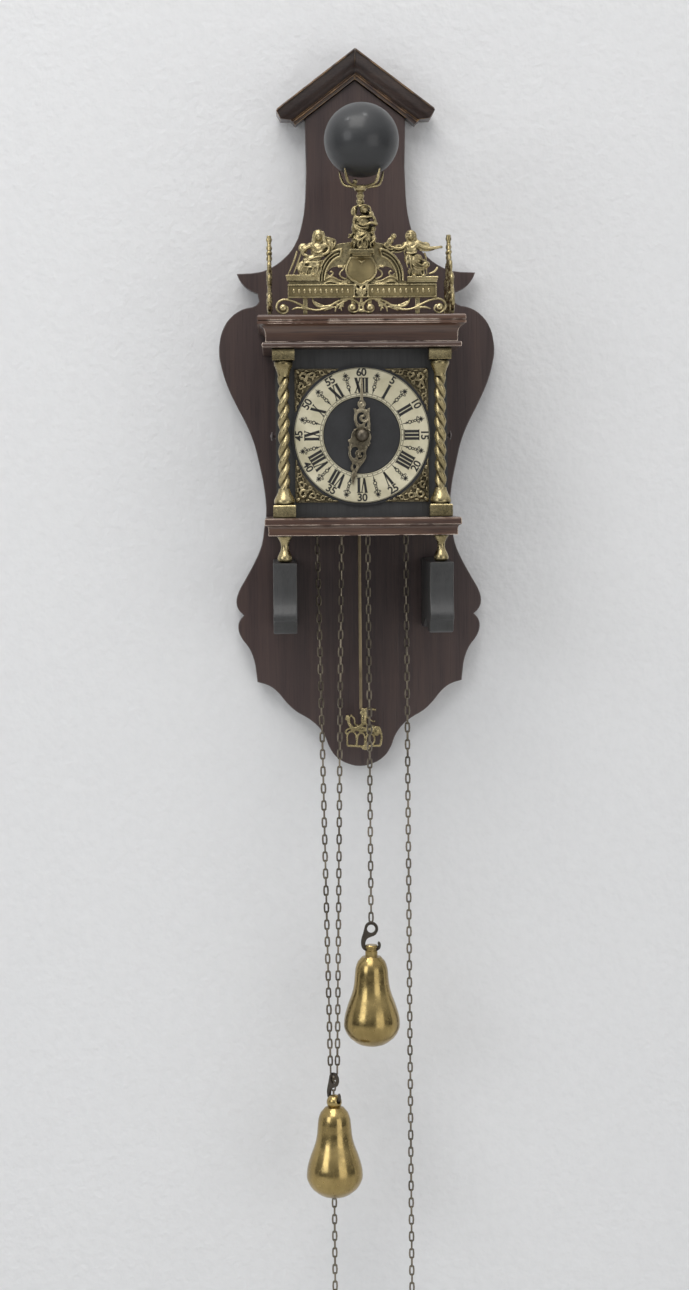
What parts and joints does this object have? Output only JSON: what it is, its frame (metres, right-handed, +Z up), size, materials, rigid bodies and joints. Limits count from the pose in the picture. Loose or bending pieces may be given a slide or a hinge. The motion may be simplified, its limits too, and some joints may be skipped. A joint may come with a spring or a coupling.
{
  "type": "wall clock",
  "caption": "Weight-driven striking wall clock on a shaped backboard, with twisted columns, cast brass crest, globe, short pendulum and pear weights.",
  "frame": {"origin": "on the back face of the backboard, on the centre line, at the height of the dial's centre", "axes": "+Z up, the front faces -Y, +X to the right seen from the front"},
  "size_m": [0.2196, 0.1647, 1.0113],
  "materials": {
    "mahogany": "satin",
    "cornice_wood": "satin",
    "ebonised_wood": "satin",
    "cast_brass": "satin",
    "polished_brass": "polished",
    "steel": "satin",
    "dark_iron": "satin",
    "black_ball": "matte",
    "silvered_brass": "satin",
    "glass": "polished"
  },
  "bodies": {
    "case": {"backboard": "mahogany", "hanger_plate": "dark_iron", "roof_moulding_left": "cornice_wood", "roof_moulding_right": "cornice_wood", "top_board": "cornice_wood", "cornice_moulding": "cornice_wood", "shelf": "cornice_wood", "front_frame": "ebonised_wood", "rear_frame": "mahogany", "column_left": "cast_brass", "column_right": "cast_brass", "foot_left": "cast_brass", "foot_right": "cast_brass", "bracket_left": "ebonised_wood", "bracket_right": "ebonised_wood", "front_crest": "cast_brass", "atlas_figure": "cast_brass", "globe": "black_ball", "side_fret_left": "cast_brass", "side_fret_right": "cast_brass", "dial_plate": "cast_brass", "chapter_ring": "silvered_brass", "back_plate": "polished_brass", "front_plate": "polished_brass", "pendulum_cock": "steel", "bell": "polished_brass", "bell_post": "steel", "going_chain_weight_side": "dark_iron", "going_chain_free_side": "dark_iron", "strike_chain_weight_side": "dark_iron", "strike_chain_free_side": "dark_iron"},
    "door_left": {"side_door_left": "mahogany", "door_glass_left": "glass", "door_knob_left": "cast_brass"},
    "door_right": {"side_door_right": "mahogany", "door_glass_right": "glass", "door_knob_right": "cast_brass"},
    "minute_arbor": {"centre_wheel": "polished_brass", "minute_hand": "cast_brass", "hand_nut": "cast_brass"},
    "hour_pipe": {"hour_wheel": "polished_brass", "hour_hand": "cast_brass"},
    "motion_wheel": {"minute_wheel": "polished_brass"},
    "going_great": {"going_great_wheel": "polished_brass"},
    "third_arbor": {"third_wheel": "polished_brass"},
    "escape_arbor": {"escape_wheel": "polished_brass"},
    "anchor_arbor": {"anchor": "steel"},
    "pendulum": {"pendulum_rod": "cast_brass", "pendulum_bob": "cast_brass"},
    "strike_great": {"strike_great_wheel": "polished_brass"},
    "pin_arbor": {"pin_wheel": "polished_brass"},
    "locking_arbor": {"locking_wheel": "polished_brass"},
    "fly_arbor": {"fly": "polished_brass"},
    "hammer_arbor": {"hammer": "steel"},
    "weight_right_hung": {"weight_right": "polished_brass", "hook_right": "dark_iron"},
    "chain_end": {"going_chain_ring": "dark_iron"},
    "weight_left_hung": {"weight_left": "polished_brass", "hook_left": "dark_iron", "strike_chain_tail": "dark_iron"}
  },
  "joints": [
    {"name": "door_left_swing", "type": "hinge", "parent": "case", "child": "door_left", "pos_m": [-0.065, -0.0186, 0.0018], "axis": [0, 0, -1], "range_deg": [0, 95]},
    {"name": "door_right_swing", "type": "hinge", "parent": "case", "child": "door_right", "pos_m": [0.065, -0.0186, 0.0018], "axis": [0, 0, 1], "range_deg": [0, 95]},
    {"name": "minute_spin", "type": "hinge", "parent": "case", "child": "minute_arbor", "pos_m": [0, -0.08, 0], "axis": [0, 1, 0], "continuous": true},
    {"name": "hour_spin", "type": "hinge", "parent": "case", "child": "hour_pipe", "pos_m": [0, -0.08, 0], "axis": [0, 1, 0], "continuous": true},
    {"name": "motion_wheel_spin", "type": "hinge", "parent": "case", "child": "motion_wheel", "pos_m": [0, -0.08, -0.018], "axis": [0, 1, 0], "continuous": true},
    {"name": "going_great_spin", "type": "hinge", "parent": "case", "child": "going_great", "pos_m": [0.02, -0.08, -0.01009], "axis": [0, 1, 0], "continuous": true},
    {"name": "third_spin", "type": "hinge", "parent": "case", "child": "third_arbor", "pos_m": [0.014, -0.08, 0.014], "axis": [0, 1, 0], "continuous": true},
    {"name": "escape_spin", "type": "hinge", "parent": "case", "child": "escape_arbor", "pos_m": [0, -0.08, 0.02273], "axis": [0, 1, 0], "continuous": true},
    {"name": "pendulum_swing", "type": "hinge", "parent": "case", "child": "pendulum", "pos_m": [0, -0.035, 0.04], "axis": [0, 1, 0], "range_deg": [-5, 5]},
    {"name": "anchor_swing", "type": "hinge", "parent": "case", "child": "anchor_arbor", "pos_m": [0, -0.08, 0.04], "axis": [0, 1, 0], "range_deg": [-5, 5]},
    {"name": "pin_spin", "type": "hinge", "parent": "case", "child": "pin_arbor", "pos_m": [-0.028, -0.08, 0.01202], "axis": [0, 1, 0], "continuous": true},
    {"name": "strike_great_spin", "type": "hinge", "parent": "case", "child": "strike_great", "pos_m": [-0.0245, -0.08, -0.0101], "axis": [0, 1, 0], "continuous": true},
    {"name": "locking_spin", "type": "hinge", "parent": "case", "child": "locking_arbor", "pos_m": [-0.016, -0.08, 0.02624], "axis": [0, 1, 0], "continuous": true},
    {"name": "fly_spin", "type": "hinge", "parent": "case", "child": "fly_arbor", "pos_m": [-0.027, -0.08, 0.0342], "axis": [0, 1, 0], "continuous": true},
    {"name": "hammer_lift", "type": "hinge", "parent": "case", "child": "hammer_arbor", "pos_m": [-0.04, -0.0906, 0.03], "axis": [0, -1, 0], "range_deg": [0, 12]},
    {"name": "going_weight_lift", "type": "slide", "parent": "case", "child": "weight_right_hung", "axis": [0, 0, 1], "range_m": [0, 0.29], "deforming": ["going_chain_weight_side"]},
    {"name": "going_end_drop", "type": "slide", "parent": "case", "child": "chain_end", "axis": [0, 0, -1], "range_m": [0, 0.29], "deforming": ["going_chain_free_side"]},
    {"name": "strike_weight_lift", "type": "slide", "parent": "case", "child": "weight_left_hung", "axis": [0, 0, 1], "range_m": [0, 0.29], "deforming": ["strike_chain_weight_side", "strike_chain_free_side"]}
  ],
  "couplings": [
    {"joint": "hour_spin", "follows": "minute_spin", "ratio": 0.083333},
    {"joint": "motion_wheel_spin", "follows": "minute_spin", "ratio": -0.33333},
    {"joint": "going_great_spin", "follows": "minute_spin", "ratio": -0.16667},
    {"joint": "third_spin", "follows": "minute_spin", "ratio": -10},
    {"joint": "escape_spin", "follows": "minute_spin", "ratio": 90},
    {"joint": "anchor_swing", "follows": "pendulum_swing", "ratio": 1},
    {"joint": "strike_great_spin", "follows": "pin_spin", "ratio": -0.16667},
    {"joint": "locking_spin", "follows": "pin_spin", "ratio": -9.3333},
    {"joint": "fly_spin", "follows": "pin_spin", "ratio": 74.667},
    {"joint": "going_end_drop", "follows": "going_weight_lift", "ratio": 1},
    {"joint": "strike_weight_lift", "follows": "going_weight_lift", "ratio": 1}
  ]
}
